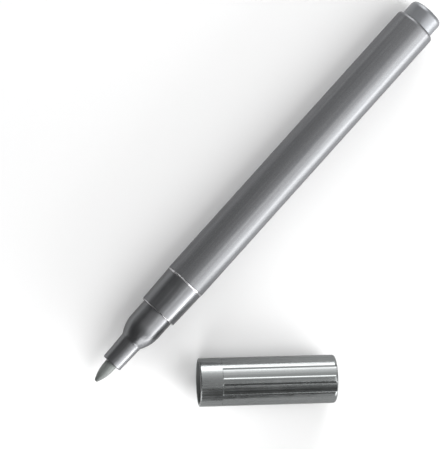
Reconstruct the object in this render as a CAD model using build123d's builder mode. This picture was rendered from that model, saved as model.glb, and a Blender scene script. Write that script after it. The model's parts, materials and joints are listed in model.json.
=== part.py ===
from build123d import *
import os
from math import cos, pi, radians, sin, sqrt

os.makedirs("parts", exist_ok=True)

# A pocket paint marker lying on a table with its cap pulled off beside it.
# Sizes are millimetres. The pen lies along X with its nib towards -X, the cap
# lies on the -Y side, and both rest on Z = 0 under the middle of the whole.

# Fits
PRESS_GAP = 0.03  # radial room of a piece pressed into a bore
SLIDE_GAP = 0.08  # radial room round the sliding nib
CAP_GAP = 0.05  # radial room between the collar and the cap
END_GAP = 0.1  # room left at the blind end of a socket
LOOSE_GAP = 0.05  # room under the loose mixing ball

# Nib: a fibre rod with a bullet point
NIB_DIAMETER = 3.35
NIB_LENGTH = 24.0
NIB_EXPOSED = 6.3
NIB_POINT_LENGTH = 5.4
NIB_TIP_LENGTH = 0.25
NIB_TIP_DIAMETER = 1.0
NIB_REAR_CHAMFER = 0.3

# Nose: a slim snout that swells into a shoulder and plugs into the collar
SNOUT_LENGTH = 7.9
SNOUT_FRONT_DIAMETER = 5.75
SNOUT_REAR_DIAMETER = 6.3
SNOUT_EDGE_CHAMFER = 0.25
SHOULDER_LENGTH = 5.4
SHOULDER_ROOT_RADIUS = 1.5
NOSE_DIAMETER = 9.5
NOSE_LAND_LENGTH = 5.0
NOSE_SPIGOT_DIAMETER = 8.0
NOSE_SOCKET_DEPTH = 6.0
NIB_GUIDE_LENGTH = 10.0
NOSE_CHAMBER_DIAMETER = 5.6
GUIDE_FIN_COUNT = 4
GUIDE_FIN_WIDTH = 0.8
GUIDE_FIN_LENGTH = 5.0

# Collar: the tapered cap seat, with a stop flange and a ribbed spigot
COLLAR_LENGTH = 10.6
COLLAR_STEP = 0.1
COLLAR_TAPER = 0.25
COLLAR_EDGE_CHAMFER = 0.25
FLANGE_WIDTH = 0.5
COLLAR_SPIGOT_LENGTH = 7.0
COLLAR_SPIGOT_WALL = 1.0
WEB_THICKNESS = 1.2
WEB_HOLE_DIAMETER = 4.4

# Barrel: a straight paint tube
BARREL_DIAMETER = 11.6
BARREL_LENGTH = 92.7
BARREL_WALL = 1.2
BARREL_END_RADIUS = 0.8

# Tail plug: a domed cup with sealing beads
TAIL_EXPOSED = 5.1
TAIL_LIP = 0.2
TAIL_CORNER_RADIUS = 1.2
TAIL_DOME_HEIGHT = 0.4
TAIL_INSERT_LENGTH = 6.0
TAIL_WALL = 1.1

# Sealing beads on the two spigots that close the barrel
BEAD_COUNT = 2
BEAD_WIDTH = 0.9
BEAD_CREST = 0.4
BEAD_HEIGHT = 0.15

# Valve: a sprung stem that the nib pushes off its gasket
VALVE_TRAVEL = 1.6
GASKET_THICKNESS = 1.2
HOUSING_LENGTH = 15.4
HOUSING_WALL = 0.9
PORT_LENGTH = 3.2
PORT_WIDTH = 2.0
PORT_RADIUS = 0.6
PORT_END_MARGIN = 2.0
STEM_PIN_STEP = 0.7
STEM_INK_ROOM = 0.4
STEM_TAIL_CHAMFER = 0.3
POPPET_INK_ROOM = 0.45
POPPET_THICKNESS = 1.8
POPPET_CHAMFER = 0.4
RETAINER_INSERT = 1.2
RETAINER_FLANGE = 0.8
RETAINER_HOLE_DIAMETER = 1.4
SPRING_WIRE_DIAMETER = 0.45
SPRING_WIRE_SIDES = 6
SPRING_TURNS = 7
SPRING_HOUSING_ROOM = 0.5
SPRING_STEM_ROOM = 0.3
SPRING_END_GAP = 0.02

# Mixing ball: loose in the paint
BALL_DIAMETER = 4.8
BALL_BEHIND_VALVE = 22.0

# Cap: a fluted shell over a sealing inner cap
CAP_WALL = 0.75
CAP_END_WALL = 0.8
CAP_END_RADIUS = 0.9
CAP_MOUTH_CHAMFER = 0.25
CAP_MOUTH_BAND = 6.0
CAP_SEAT_STEP = 0.2
CAP_NIB_ROOM = 0.4
FLUTE_COUNT = 9
FLUTE_DEPTH = 0.25
FLUTE_RIB_WIDTH = 1.7
FLUTE_PHASE = -5.4
INNER_BASE = 0.5
INNER_SKIRT_LENGTH = 6.0
INNER_SKIRT_WALL = 0.6
INNER_SLEEVE_WALL = 0.7
SEAL_OVERLAP = 3.1
SEAL_ROOM = 0.05

# Where the cap lies: its mouth from the nib tip, and its turn from the pen
CAP_ALONG = 17.95
CAP_ASIDE = 20.7
CAP_TURN = 46.75

# Radii
nib_r = NIB_DIAMETER / 2
snout_front_r = SNOUT_FRONT_DIAMETER / 2
snout_rear_r = SNOUT_REAR_DIAMETER / 2
nose_r = NOSE_DIAMETER / 2
nose_spigot_r = NOSE_SPIGOT_DIAMETER / 2
nose_chamber_r = NOSE_CHAMBER_DIAMETER / 2
barrel_r = BARREL_DIAMETER / 2
barrel_bore_r = barrel_r - BARREL_WALL
collar_rear_r = barrel_r - COLLAR_STEP
collar_front_r = collar_rear_r - COLLAR_TAPER
valve_bore_r = barrel_bore_r - COLLAR_SPIGOT_WALL
bead_r = barrel_bore_r - PRESS_GAP
spigot_r = bead_r - BEAD_HEIGHT
tail_r = barrel_bore_r + TAIL_LIP
housing_r = valve_bore_r - PRESS_GAP
housing_bore_r = housing_r - HOUSING_WALL
poppet_r = housing_bore_r - POPPET_INK_ROOM
stem_pin_r = nib_r - STEM_PIN_STEP
gasket_hole_r = stem_pin_r + STEM_INK_ROOM
spring_wire_r = SPRING_WIRE_DIAMETER / 2
spring_mean_r = housing_bore_r - SPRING_HOUSING_ROOM - spring_wire_r
stem_tail_r = spring_mean_r - spring_wire_r - SPRING_STEM_ROOM
ball_r = BALL_DIAMETER / 2
cap_bore_r = collar_rear_r + CAP_GAP
cap_r = cap_bore_r + CAP_WALL
cap_seat_r = cap_bore_r - CAP_SEAT_STEP
rib_block = 4 * FLUTE_DEPTH  # reaches past both faces of the ring that cuts the flutes

# Stations along the pen, from the nib tip to the tail
pen_length = (
    NIB_EXPOSED + SNOUT_LENGTH + SHOULDER_LENGTH + NOSE_LAND_LENGTH
    + COLLAR_LENGTH + FLANGE_WIDTH + BARREL_LENGTH + TAIL_EXPOSED
)
tip_x = -pen_length / 2
nose_x = tip_x + NIB_EXPOSED
shoulder_x = nose_x + SNOUT_LENGTH
land_x = shoulder_x + SHOULDER_LENGTH
collar_x = land_x + NOSE_LAND_LENGTH
flange_x = collar_x + COLLAR_LENGTH
barrel_x = flange_x + FLANGE_WIDTH
tail_x = barrel_x + BARREL_LENGTH
end_x = tail_x + TAIL_EXPOSED
nib_rear_x = tip_x + NIB_LENGTH
web_x = collar_x + NOSE_SOCKET_DEPTH
gasket_x = web_x + WEB_THICKNESS
housing_x = gasket_x + GASKET_THICKNESS
housing_end_x = housing_x + HOUSING_LENGTH
poppet_end_x = housing_x + POPPET_THICKNESS
spring_seat_x = housing_end_x - RETAINER_INSERT
valve_end_x = housing_end_x + RETAINER_FLANGE
spigot_end_x = barrel_x + COLLAR_SPIGOT_LENGTH
plug_x = tail_x - TAIL_INSERT_LENGTH

# Stations along the cap, from its mouth to its closed end
cap_inner_depth = flange_x - tip_x + CAP_NIB_ROOM + INNER_BASE
cap_length = cap_inner_depth + CAP_END_WALL
inner_base_c = cap_inner_depth - INNER_BASE
inner_sleeve_c = inner_base_c - CAP_NIB_ROOM - NIB_EXPOSED - SEAL_OVERLAP
inner_skirt_c = cap_inner_depth - INNER_SKIRT_LENGTH

# The pen and the cap share one box whose middle is Y = 0
turn = radians(CAP_TURN)
cap_reach = (
    CAP_ASIDE + (cap_length - CAP_END_RADIUS) * sin(turn)
    + (cap_r - CAP_END_RADIUS) * cos(turn) + CAP_END_RADIUS
)
pen_y = (cap_reach - barrel_r) / 2
pen_z = barrel_r
cap_direction = Vector(cos(turn), -sin(turn), 0)
cap_mouth = Vector(tip_x + CAP_ALONG, pen_y - CAP_ASIDE, cap_r)

# Half-section planes: local X runs along the axis and local Y is the radius
PEN_SIDE = Plane(origin=(0, pen_y, pen_z), x_dir=(1, 0, 0), z_dir=(0, -1, 0))
PEN_TOP = Plane(origin=(0, pen_y, pen_z), x_dir=(1, 0, 0), z_dir=(0, 0, 1))
PEN_AXIS = Axis((0, pen_y, pen_z), (1, 0, 0))
CAP_SIDE = Plane(
    origin=cap_mouth, x_dir=cap_direction, z_dir=cap_direction.cross(Vector(0, 0, 1))
)
CAP_AXIS = Axis(cap_mouth, cap_direction)


def pen_cross(x):
    """Cross-section plane of the pen at a station, with local X pointing up."""
    return Plane(origin=(x, pen_y, pen_z), x_dir=(0, 0, 1), z_dir=(1, 0, 0))


def cap_cross(c):
    """Cross-section plane of the cap at a distance from its mouth."""
    return Plane(origin=cap_mouth + cap_direction * c, x_dir=(0, 0, 1), z_dir=cap_direction)


# The nib: a bullet point blended into a straight rod that reaches the valve
with BuildPart() as nib:
    with BuildSketch(PEN_SIDE) as nib_half:
        with BuildLine():
            tip_round = TangentArc(
                (tip_x, 0), (tip_x + NIB_TIP_LENGTH, NIB_TIP_DIAMETER / 2), tangent=(0, 1)
            )
            point = TangentArc(
                (tip_x + NIB_POINT_LENGTH, nib_r), tip_round @ 1, tangent=(-1, 0)
            )
            Polyline(point @ 0, (nib_rear_x, nib_r), (nib_rear_x, 0), tip_round @ 0)
        make_face()
        chamfer(
            nib_half.vertices().sort_by_distance((nib_rear_x, nib_r, 0))[0], NIB_REAR_CHAMFER
        )
    revolve(axis=PEN_AXIS)
nib.part.label = "nib"

# The nose: its outside sweeps from the snout up to the collar, and its inside
# holds the nib in a straight guide and then opens into a small paint chamber
guide_r = nib_r + SLIDE_GAP
guide_end_x = nose_x + NIB_GUIDE_LENGTH
nose_end_x = web_x - END_GAP
with BuildPart() as nose:
    with BuildSketch(PEN_SIDE) as nose_half:
        with BuildLine():
            shoulder = TangentArc(
                (land_x, nose_r), (shoulder_x, snout_rear_r), tangent=(-1, 0)
            )
            Polyline(
                shoulder @ 0,
                (collar_x, nose_r),
                (collar_x, nose_spigot_r),
                (nose_end_x, nose_spigot_r),
                (nose_end_x, nose_chamber_r),
                (guide_end_x + nose_chamber_r - guide_r, nose_chamber_r),
                (guide_end_x, guide_r),
                (nose_x, guide_r),
                (nose_x, snout_front_r),
                shoulder @ 1,
            )
        make_face()
        fillet(
            nose_half.vertices().sort_by_distance((shoulder_x, snout_rear_r, 0))[0],
            SHOULDER_ROOT_RADIUS,
        )
        chamfer(
            nose_half.vertices().sort_by_distance((nose_x, snout_front_r, 0))[0],
            SNOUT_EDGE_CHAMFER,
        )
    revolve(axis=PEN_AXIS)
    # Fins that steady the rear of the nib and leave the paint room to pass
    with BuildSketch(pen_cross(nose_end_x - GUIDE_FIN_LENGTH)):
        with PolarLocations((guide_r + nose_chamber_r) / 2, GUIDE_FIN_COUNT):
            Rectangle(nose_chamber_r - guide_r + GUIDE_FIN_WIDTH, GUIDE_FIN_WIDTH)
        Circle(guide_r, mode=Mode.SUBTRACT)
    extrude(amount=GUIDE_FIN_LENGTH)
nose.part.label = "nose"


def bead_places(start, end):
    """Middles of the sealing beads, spread evenly over a spigot."""
    step = (end - start) / (BEAD_COUNT + 1)
    return [start + step * (k + 1) for k in range(BEAD_COUNT)]


def add_beads(start, end):
    """Sloped sealing beads on a spigot of the pen, from its bare radius to the bore."""
    for middle in bead_places(start, end):
        with BuildSketch(PEN_SIDE) as bead_half:
            with BuildLine():
                Polyline(
                    (middle - BEAD_WIDTH / 2, spigot_r),
                    (middle - BEAD_CREST / 2, bead_r),
                    (middle + BEAD_CREST / 2, bead_r),
                    (middle + BEAD_WIDTH / 2, spigot_r),
                    (middle + BEAD_WIDTH / 2, spigot_r - BEAD_HEIGHT),
                    (middle - BEAD_WIDTH / 2, spigot_r - BEAD_HEIGHT),
                    close=True,
                )
            make_face()
        revolve(bead_half.sketch, axis=PEN_AXIS)


# The collar: a tapered cap seat in front of the stop flange, a socket for the
# nose, a web that carries the valve gasket, and a beaded spigot in the barrel
with BuildPart() as collar:
    socket_r = nose_spigot_r + PRESS_GAP
    with BuildSketch(PEN_SIDE) as collar_half:
        with BuildLine():
            Polyline(
                (collar_x, socket_r),
                (collar_x, collar_front_r),
                (flange_x, collar_rear_r),
                (flange_x, barrel_r),
                (barrel_x, barrel_r),
                (barrel_x, spigot_r),
                (spigot_end_x, spigot_r),
                (spigot_end_x, valve_bore_r),
                (gasket_x, valve_bore_r),
                (gasket_x, WEB_HOLE_DIAMETER / 2),
                (web_x, WEB_HOLE_DIAMETER / 2),
                (web_x, socket_r),
                close=True,
            )
        make_face()
        chamfer(
            collar_half.vertices().sort_by_distance((collar_x, collar_front_r, 0))[0],
            COLLAR_EDGE_CHAMFER,
        )
    revolve(axis=PEN_AXIS)
    add_beads(barrel_x, spigot_end_x)
collar.part.label = "collar"

# The barrel: a straight tube with a rounded rear edge
with BuildPart() as barrel:
    with BuildSketch(PEN_SIDE) as barrel_half:
        with BuildLine():
            Polyline(
                (barrel_x, barrel_bore_r),
                (barrel_x, barrel_r),
                (tail_x, barrel_r),
                (tail_x, barrel_bore_r),
                close=True,
            )
        make_face()
        fillet(
            barrel_half.vertices().sort_by_distance((tail_x, barrel_r, 0))[0],
            BARREL_END_RADIUS,
        )
    revolve(axis=PEN_AXIS)
barrel.part.label = "barrel"

# The tail plug: a cup pressed into the barrel, whose domed head seats on its end
dome_edge_x = end_x - TAIL_DOME_HEIGHT
with BuildPart() as tail_plug:
    cup_r = spigot_r - TAIL_WALL
    with BuildSketch(PEN_SIDE) as tail_half:
        with BuildLine():
            dome = TangentArc((end_x, 0), (dome_edge_x, tail_r), tangent=(0, 1))
            Polyline(
                dome @ 1,
                (tail_x, tail_r),
                (tail_x, spigot_r),
                (plug_x, spigot_r),
                (plug_x, cup_r),
                (dome_edge_x - TAIL_WALL, cup_r),
                (dome_edge_x - TAIL_WALL, 0),
                dome @ 0,
            )
        make_face()
        fillet(
            tail_half.vertices().sort_by_distance((dome_edge_x, tail_r, 0))[0],
            TAIL_CORNER_RADIUS,
        )
    revolve(axis=PEN_AXIS)
    add_beads(plug_x, tail_x)
tail_plug.part.label = "tail_plug"

# The valve gasket: a rubber ring against the collar's web
with BuildPart() as valve_gasket:
    with BuildSketch(pen_cross(gasket_x)):
        Circle(housing_r)
        Circle(gasket_hole_r, mode=Mode.SUBTRACT)
    extrude(amount=GASKET_THICKNESS)
valve_gasket.part.label = "valve_gasket"

# The valve housing: a tube pressed in behind the gasket, with four paint ports
port_x = housing_end_x - PORT_END_MARGIN - PORT_LENGTH / 2
with BuildPart() as valve_housing:
    with BuildSketch(pen_cross(housing_x)):
        Circle(housing_r)
        Circle(housing_bore_r, mode=Mode.SUBTRACT)
    extrude(amount=HOUSING_LENGTH)
    for port_plane in (PEN_SIDE, PEN_TOP):
        with BuildSketch(port_plane):
            with Locations((port_x, 0)):
                RectangleRounded(PORT_LENGTH, PORT_WIDTH, PORT_RADIUS)
        extrude(amount=housing_r, both=True, mode=Mode.SUBTRACT)
valve_housing.part.label = "valve_housing"

# The valve stem: a front pin against the nib, a poppet on the gasket, and a
# tail that keeps the spring straight and stops short of the retainer
stem_end_x = spring_seat_x - VALVE_TRAVEL - END_GAP
with BuildPart() as valve_stem:
    with BuildSketch(PEN_SIDE) as stem_half:
        with BuildLine():
            Polyline(
                (nib_rear_x, 0),
                (nib_rear_x, stem_pin_r),
                (housing_x, stem_pin_r),
                (housing_x, poppet_r),
                (poppet_end_x, poppet_r),
                (poppet_end_x, stem_tail_r),
                (stem_end_x, stem_tail_r),
                (stem_end_x, 0),
                close=True,
            )
        make_face()
        chamfer(
            stem_half.vertices().sort_by_distance((stem_end_x, stem_tail_r, 0))[0],
            STEM_TAIL_CHAMFER,
        )
        chamfer(
            stem_half.vertices().sort_by_distance((housing_x, poppet_r, 0))[0],
            POPPET_CHAMFER,
        )
    revolve(axis=PEN_AXIS)
valve_stem.part.label = "valve_stem"

# The spring retainer: a flanged plug that closes the housing behind the spring
with BuildPart() as spring_retainer:
    with BuildSketch(PEN_SIDE):
        with BuildLine():
            Polyline(
                (spring_seat_x, RETAINER_HOLE_DIAMETER / 2),
                (spring_seat_x, housing_bore_r - PRESS_GAP),
                (housing_end_x, housing_bore_r - PRESS_GAP),
                (housing_end_x, housing_r),
                (valve_end_x, housing_r),
                (valve_end_x, RETAINER_HOLE_DIAMETER / 2),
                close=True,
            )
        make_face()
    revolve(axis=PEN_AXIS)
spring_retainer.part.label = "spring_retainer"

# The valve spring: a helix of six-sided wire from the poppet to the retainer.
# Each quarter turn is a pair of arcs that share their tangent, so the wire runs
# on unbroken.
spring_start_x = poppet_end_x + spring_wire_r + SPRING_END_GAP
spring_stop_x = spring_seat_x - spring_wire_r - SPRING_END_GAP
spring_pitch = (spring_stop_x - spring_start_x) / SPRING_TURNS
QUARTERS_PER_TURN = 4


def coil_point(turns):
    """A point on the wire's centre line after a number of turns."""
    angle = 2 * pi * turns
    return Vector(
        spring_start_x + spring_pitch * turns,
        pen_y + spring_mean_r * cos(angle),
        pen_z + spring_mean_r * sin(angle),
    )


def coil_tangent(turns):
    """The wire's direction after a number of turns."""
    angle = 2 * pi * turns
    lead = spring_pitch / (2 * pi)
    return Vector(lead, -spring_mean_r * sin(angle), spring_mean_r * cos(angle)).normalized()


with BuildPart() as valve_spring:
    with BuildLine() as spring_path:
        for quarter in range(SPRING_TURNS * QUARTERS_PER_TURN):
            begin = quarter / QUARTERS_PER_TURN
            finish = (quarter + 1) / QUARTERS_PER_TURN
            chord = coil_point(finish) - coil_point(begin)
            lean = coil_tangent(begin) + coil_tangent(finish)
            spread = 4 - lean.dot(lean)
            along = chord.dot(lean)
            reach = (sqrt(along**2 + spread * chord.dot(chord)) - along) / spread
            first_knee = coil_point(begin) + coil_tangent(begin) * reach
            second_knee = coil_point(finish) - coil_tangent(finish) * reach
            meeting = (first_knee + second_knee) * 0.5
            TangentArc(coil_point(begin), meeting, tangent=coil_tangent(begin))
            TangentArc(meeting, coil_point(finish), tangent=second_knee - first_knee)
    with BuildSketch(Plane(origin=coil_point(0), z_dir=coil_tangent(0))):
        RegularPolygon(spring_wire_r, SPRING_WIRE_SIDES)
    sweep(path=spring_path.wires()[0])
valve_spring.part.label = "valve_spring"

# The least room between the spring's turns, measured on points of its centre line
SPRING_SAMPLES = 48
samples = [coil_point(k / SPRING_SAMPLES) for k in range(SPRING_TURNS * SPRING_SAMPLES + 1)]
spring_gap = min(
    (samples[j] - samples[i]).length
    for i in range(len(samples))
    for j in range(i + SPRING_SAMPLES // 2, len(samples))
) - SPRING_WIRE_DIAMETER
print(f"least gap between the spring's turns {spring_gap:.2f} mm")

# The mixing ball: it lies on the lowest line of the barrel's bore
with BuildPart() as mixing_ball:
    with Locations(
        (valve_end_x + BALL_BEHIND_VALVE, pen_y, pen_z - barrel_bore_r + ball_r + LOOSE_GAP)
    ):
        Sphere(ball_r)
mixing_ball.part.label = "mixing_ball"

# The cap shell: a deep cup with a smooth mouth band. Behind the band shallow
# flutes with square starts run out over the rounded closed end.
with BuildPart() as cap_shell:
    with BuildSketch(CAP_SIDE) as shell_half:
        with BuildLine():
            Polyline(
                (0, cap_bore_r),
                (0, cap_r),
                (cap_length, cap_r),
                (cap_length, 0),
                (cap_inner_depth, 0),
                (cap_inner_depth, cap_seat_r),
                (inner_sleeve_c, cap_seat_r),
                (inner_sleeve_c, cap_bore_r),
                close=True,
            )
        make_face()
        fillet(
            shell_half.vertices().sort_by_distance((cap_length, cap_r, 0))[0], CAP_END_RADIUS
        )
        chamfer(
            shell_half.vertices().sort_by_distance((0, cap_r, 0))[0], CAP_MOUTH_CHAMFER
        )
    revolve(axis=CAP_AXIS)
    # A ring round the cap, parted where a rib is left standing, cuts the flutes
    with BuildSketch(cap_cross(CAP_MOUTH_BAND)):
        Circle(cap_r + FLUTE_DEPTH)
        Circle(cap_r - FLUTE_DEPTH, mode=Mode.SUBTRACT)
        with PolarLocations(cap_r, FLUTE_COUNT, start_angle=FLUTE_PHASE):
            Rectangle(rib_block, FLUTE_RIB_WIDTH, mode=Mode.SUBTRACT)
    extrude(amount=cap_length - CAP_MOUTH_BAND, mode=Mode.SUBTRACT)
cap_shell.part.label = "cap_shell"

# The inner cap: a skirt pressed into the shell, and a sleeve whose mouth closes
# round the tapered snout so that the nib stays wet
snout_taper = (snout_rear_r - snout_front_r) / SNOUT_LENGTH
sleeve_bore_r = snout_front_r + snout_taper * SEAL_OVERLAP + SEAL_ROOM
with BuildPart() as inner_cap:
    skirt_r = cap_seat_r - PRESS_GAP
    sleeve_r = sleeve_bore_r + INNER_SLEEVE_WALL
    with BuildSketch(CAP_SIDE):
        with BuildLine():
            Polyline(
                (cap_inner_depth, 0),
                (cap_inner_depth, skirt_r),
                (inner_skirt_c, skirt_r),
                (inner_skirt_c, skirt_r - INNER_SKIRT_WALL),
                (inner_base_c, skirt_r - INNER_SKIRT_WALL),
                (inner_base_c, sleeve_r),
                (inner_sleeve_c, sleeve_r),
                (inner_sleeve_c, sleeve_bore_r),
                (inner_base_c, sleeve_bore_r),
                (inner_base_c, 0),
                close=True,
            )
        make_face()
    revolve(axis=CAP_AXIS)
inner_cap.part.label = "inner_cap"

pieces = (
    barrel, tail_plug, collar, nose, nib, valve_gasket, valve_housing, valve_stem,
    valve_spring, spring_retainer, mixing_ball, cap_shell, inner_cap,
)
for piece in pieces:
    export_step(piece.part, f"parts/{piece.part.label}.step")

# Places that mounts and joints refer to
ball_x = valve_end_x + BALL_BEHIND_VALVE
print(f"pen axis at y {pen_y:.4f}, z {pen_z:.4f}, from x {tip_x:.4f} to {end_x:.4f}")
print(f"barrel from x {barrel_x:.4f} to {tail_x:.4f}, radius {barrel_r:.4f}")
print(f"cap mouth at {cap_mouth.X:.4f}, {cap_mouth.Y:.4f}, {cap_mouth.Z:.4f}")
print(f"cap runs along {cap_direction.X:.6f}, {cap_direction.Y:.6f} for {cap_length:.4f}")
print(f"cap bore radius {cap_bore_r:.4f} to depth {inner_sleeve_c:.4f}")
print(f"inner sleeve radius {sleeve_bore_r:.4f} from there to depth {inner_base_c:.4f}")
print(f"ball may roll from {valve_end_x + ball_r - ball_x:.4f} to {plug_x - ball_r - ball_x:.4f}")
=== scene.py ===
# %% [markdown]
# # A paint marker beside its cap
#
# A pocket paint marker lies on a white table with its cap pulled off. The solids of the marker are
# already made and packed, with their joints. This lesson gives them their looks: smooth turned
# shells, metallised plastic, satin lacquer and a felt nib, under soft studio light.
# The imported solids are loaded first, because every place below is measured from them.

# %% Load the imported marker
import bmesh
import bpy
import json
import math
from mathutils import Matrix, Vector


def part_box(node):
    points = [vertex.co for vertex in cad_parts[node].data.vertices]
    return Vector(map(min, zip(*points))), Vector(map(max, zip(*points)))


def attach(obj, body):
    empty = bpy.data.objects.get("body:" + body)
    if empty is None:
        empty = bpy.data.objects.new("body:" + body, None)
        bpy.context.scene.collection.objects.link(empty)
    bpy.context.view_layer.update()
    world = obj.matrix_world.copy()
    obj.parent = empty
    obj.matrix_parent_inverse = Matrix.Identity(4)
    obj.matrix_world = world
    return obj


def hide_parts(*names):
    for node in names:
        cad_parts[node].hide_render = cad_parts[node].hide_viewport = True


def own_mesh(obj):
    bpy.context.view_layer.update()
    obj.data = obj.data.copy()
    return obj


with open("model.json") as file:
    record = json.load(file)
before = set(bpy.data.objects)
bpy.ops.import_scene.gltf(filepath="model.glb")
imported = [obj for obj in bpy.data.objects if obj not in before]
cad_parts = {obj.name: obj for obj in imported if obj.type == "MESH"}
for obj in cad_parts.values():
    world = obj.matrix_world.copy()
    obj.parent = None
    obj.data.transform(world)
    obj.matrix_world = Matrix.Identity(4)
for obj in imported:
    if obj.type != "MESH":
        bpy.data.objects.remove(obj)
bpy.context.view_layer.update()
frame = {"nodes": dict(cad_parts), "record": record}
bpy.ops.object.select_all(action="DESELECT")
print("solids:", sorted(frame["nodes"]))

# %% [markdown]
# ## Where the pen and the cap lie
#
# Nearly every piece of a marker is round about one line, so two lines carry the whole layout: the
# pen's, which starts at the nib's tip, and the cap's, which starts in its open mouth. Reading them
# from the solids, instead of typing them again, keeps the looks on the solids if these change.

# %% Two centre lines
MM = 0.001  # a millimetre in metres
UP = Vector((0, 0, 1))
ALONG_PEN = Vector((1, 0, 0))

barrel_low, barrel_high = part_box("barrel")
axis_height = (barrel_low.z + barrel_high.z) / 2
nib_tip = Vector((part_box("nib")[0].x, (barrel_low.y + barrel_high.y) / 2, axis_height))
pen_line = {"start": nib_tip, "along": ALONG_PEN, "out": UP}

mouth = next(m for m in frame["record"]["mounts"] if m["name"] == "cap_mouth")
cap_along = -Vector(mouth["axis"]).normalized()
cap_start = Vector(mouth["pos_m"]) - cap_along * mouth["dims"]["length_mm"] * MM / 2
cap_line = {"start": cap_start, "along": cap_along, "out": UP}
print("nib tip", tuple(nib_tip), "cap mouth", tuple(cap_start))

# %% Measuring along a centre line
def on_line(place, line):
    """How far a place lies along a centre line and away from it, in millimetres."""
    offset = place - line["start"]
    distance = offset.dot(line["along"])
    return distance / MM, (offset - line["along"] * distance).length / MM


def span(node, line):
    """Where a solid begins and ends along a centre line, in millimetres."""
    places = [on_line(vertex.co, line)[0] for vertex in frame["nodes"][node].data.vertices]
    return min(places), max(places)


print("barrel from", span("barrel", pen_line), "mm")

# %% [markdown]
# ## The camera
#
# The photograph looks almost straight down, with the pen running up to the right. A camera could be
# aimed by eye, but here the view was worked out from a few corners of the pen and the cap: how far
# the table is turned and tilted, and how far the pen's middle lies from the middle of the frame.

# %% Camera at the photograph's angle
FRAME_PIXELS = (440, 449)
PIXELS_PER_MM = 3.703  # at the height of the table
CAMERA_HEIGHT = 600 * MM
TABLE_TURN = math.radians(47.75)
TABLE_TILT_X = math.radians(1.5)
TABLE_TILT_Y = math.radians(6.5)
PEN_MIDDLE_IN_FRAME = Vector((10.87, 8.07, 0)) * MM

table_to_view = (
    Matrix.Rotation(TABLE_TILT_X, 3, "X")
    @ Matrix.Rotation(TABLE_TILT_Y, 3, "Y")
    @ Matrix.Rotation(TABLE_TURN, 3, "Z")
)
view_to_table = table_to_view.transposed()
pen_middle = Vector((0, nib_tip.y, 0))
eye = pen_middle + view_to_table @ (Vector((0, 0, CAMERA_HEIGHT)) - PEN_MIDDLE_IN_FRAME)

bpy.ops.object.camera_add(location=eye, rotation=view_to_table.to_euler())
camera = bpy.context.object
focal_pixels = CAMERA_HEIGHT / MM * PIXELS_PER_MM
camera.data.lens = camera.data.sensor_width * focal_pixels / max(FRAME_PIXELS)
camera.data.clip_start = 10 * MM
bpy.context.scene.camera = camera
bpy.context.scene.view_settings.view_transform = "Standard"
print("camera at", tuple(eye), "lens", round(camera.data.lens, 1), "mm")

# %% [markdown]
# ## Colour and node helpers
#
# Colours are easiest to judge as the hex values that a paint program shows, but a shader wants
# linear light, so one function turns one into the other. A second one adds a node and fills its
# sockets: a plain value is set on the socket, and another node's socket is linked to it.

# %% Helpers for materials
def linear(hex_colour):
    """Turn a hex colour into the linear colour that a shader needs."""
    parts = [int(hex_colour[i:i + 2], 16) / 255 for i in (1, 3, 5)]
    return tuple(c / 12.92 if c <= 0.04045 else ((c + 0.055) / 1.055) ** 2.4 for c in parts) + (1.0,)


def add_node(tree, kind, values):
    """Add a node. Each value names a socket, by name or number, or else one of the node's settings."""
    node = tree.nodes.new(kind)
    for key, value in values.items():
        if isinstance(key, str) and key not in node.inputs:
            setattr(node, key, value)
        elif isinstance(value, bpy.types.NodeSocket):
            tree.links.new(value, node.inputs[key])
        else:
            node.inputs[key].default_value = value
    return node


def new_finish(name):
    """An empty material, its node tree, and the socket that gives places in the piece's own space."""
    finish = bpy.data.materials.new(name)
    finish.use_nodes = True
    tree = finish.node_tree
    tree.nodes.clear()
    place = add_node(tree, "ShaderNodeTexCoord", {}).outputs["Object"]
    return finish, tree, place


print("a mid grey is", round(linear("#808080")[0], 3), "in linear light")

# %% [markdown]
# ## Table and lamps
#
# Metal shows whatever is around it, so the room matters as much as the finish. A long softbox stands
# low beside the pen and a second one beyond the cap, so each shows a pale band on one side and falls
# off to dark on the other. A narrow strip hangs over the pen, and a broad box lights the table. A
# small card stands so close to the nose that its swelling shoulder mirrors it and the cap doesn't.
# A ring of small lamps could light all this too, but each would draw a hard streak on the metal.

# %% White table
TABLE_SIZE = 4
TABLE_DROP = 0.02 * MM  # keeps the table's face apart from the pieces that rest on it
bpy.ops.mesh.primitive_plane_add(size=TABLE_SIZE, location=(0, 0, -TABLE_DROP))
table = bpy.context.object
table.name = "table"
# An even white without gloss, on which only the soft shadows show.
table_card, tree, _ = new_finish("matt_white_card")
shader = add_node(tree, "ShaderNodeBsdfPrincipled", {
    "Base Color": linear("#fcfcfc"), "Roughness": 0.9, "Specular IOR Level": 0.2,
})
add_node(tree, "ShaderNodeOutputMaterial", {"Surface": shader.outputs["BSDF"]})
table.data.materials.append(table_card)
print("table at z", table.location.z)

# %% Softbox helper
FAR = 0.55  # metres from the table's middle to a softbox


def add_softbox(name, aim, towards, elevation, distance, width, height, radiance):
    """A rectangular lamp that faces aim from a side, raised by an angle in degrees. Sizes in metres."""
    rise = math.radians(elevation)
    ray = towards.normalized() * math.cos(rise) + UP * math.sin(rise)
    bpy.ops.object.light_add(
        type="AREA", location=aim + ray * distance, rotation=ray.to_track_quat("Z", "Y").to_euler()
    )
    lamp = bpy.context.object
    lamp.name = name
    lamp.data.shape = "RECTANGLE"
    lamp.data.size = width
    lamp.data.size_y = height
    lamp.data.energy = radiance * math.pi * width * height
    lamp.visible_camera = False
    print(name, round(lamp.data.energy, 2), "W")


print("softboxes stand", FAR, "m away")

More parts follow.
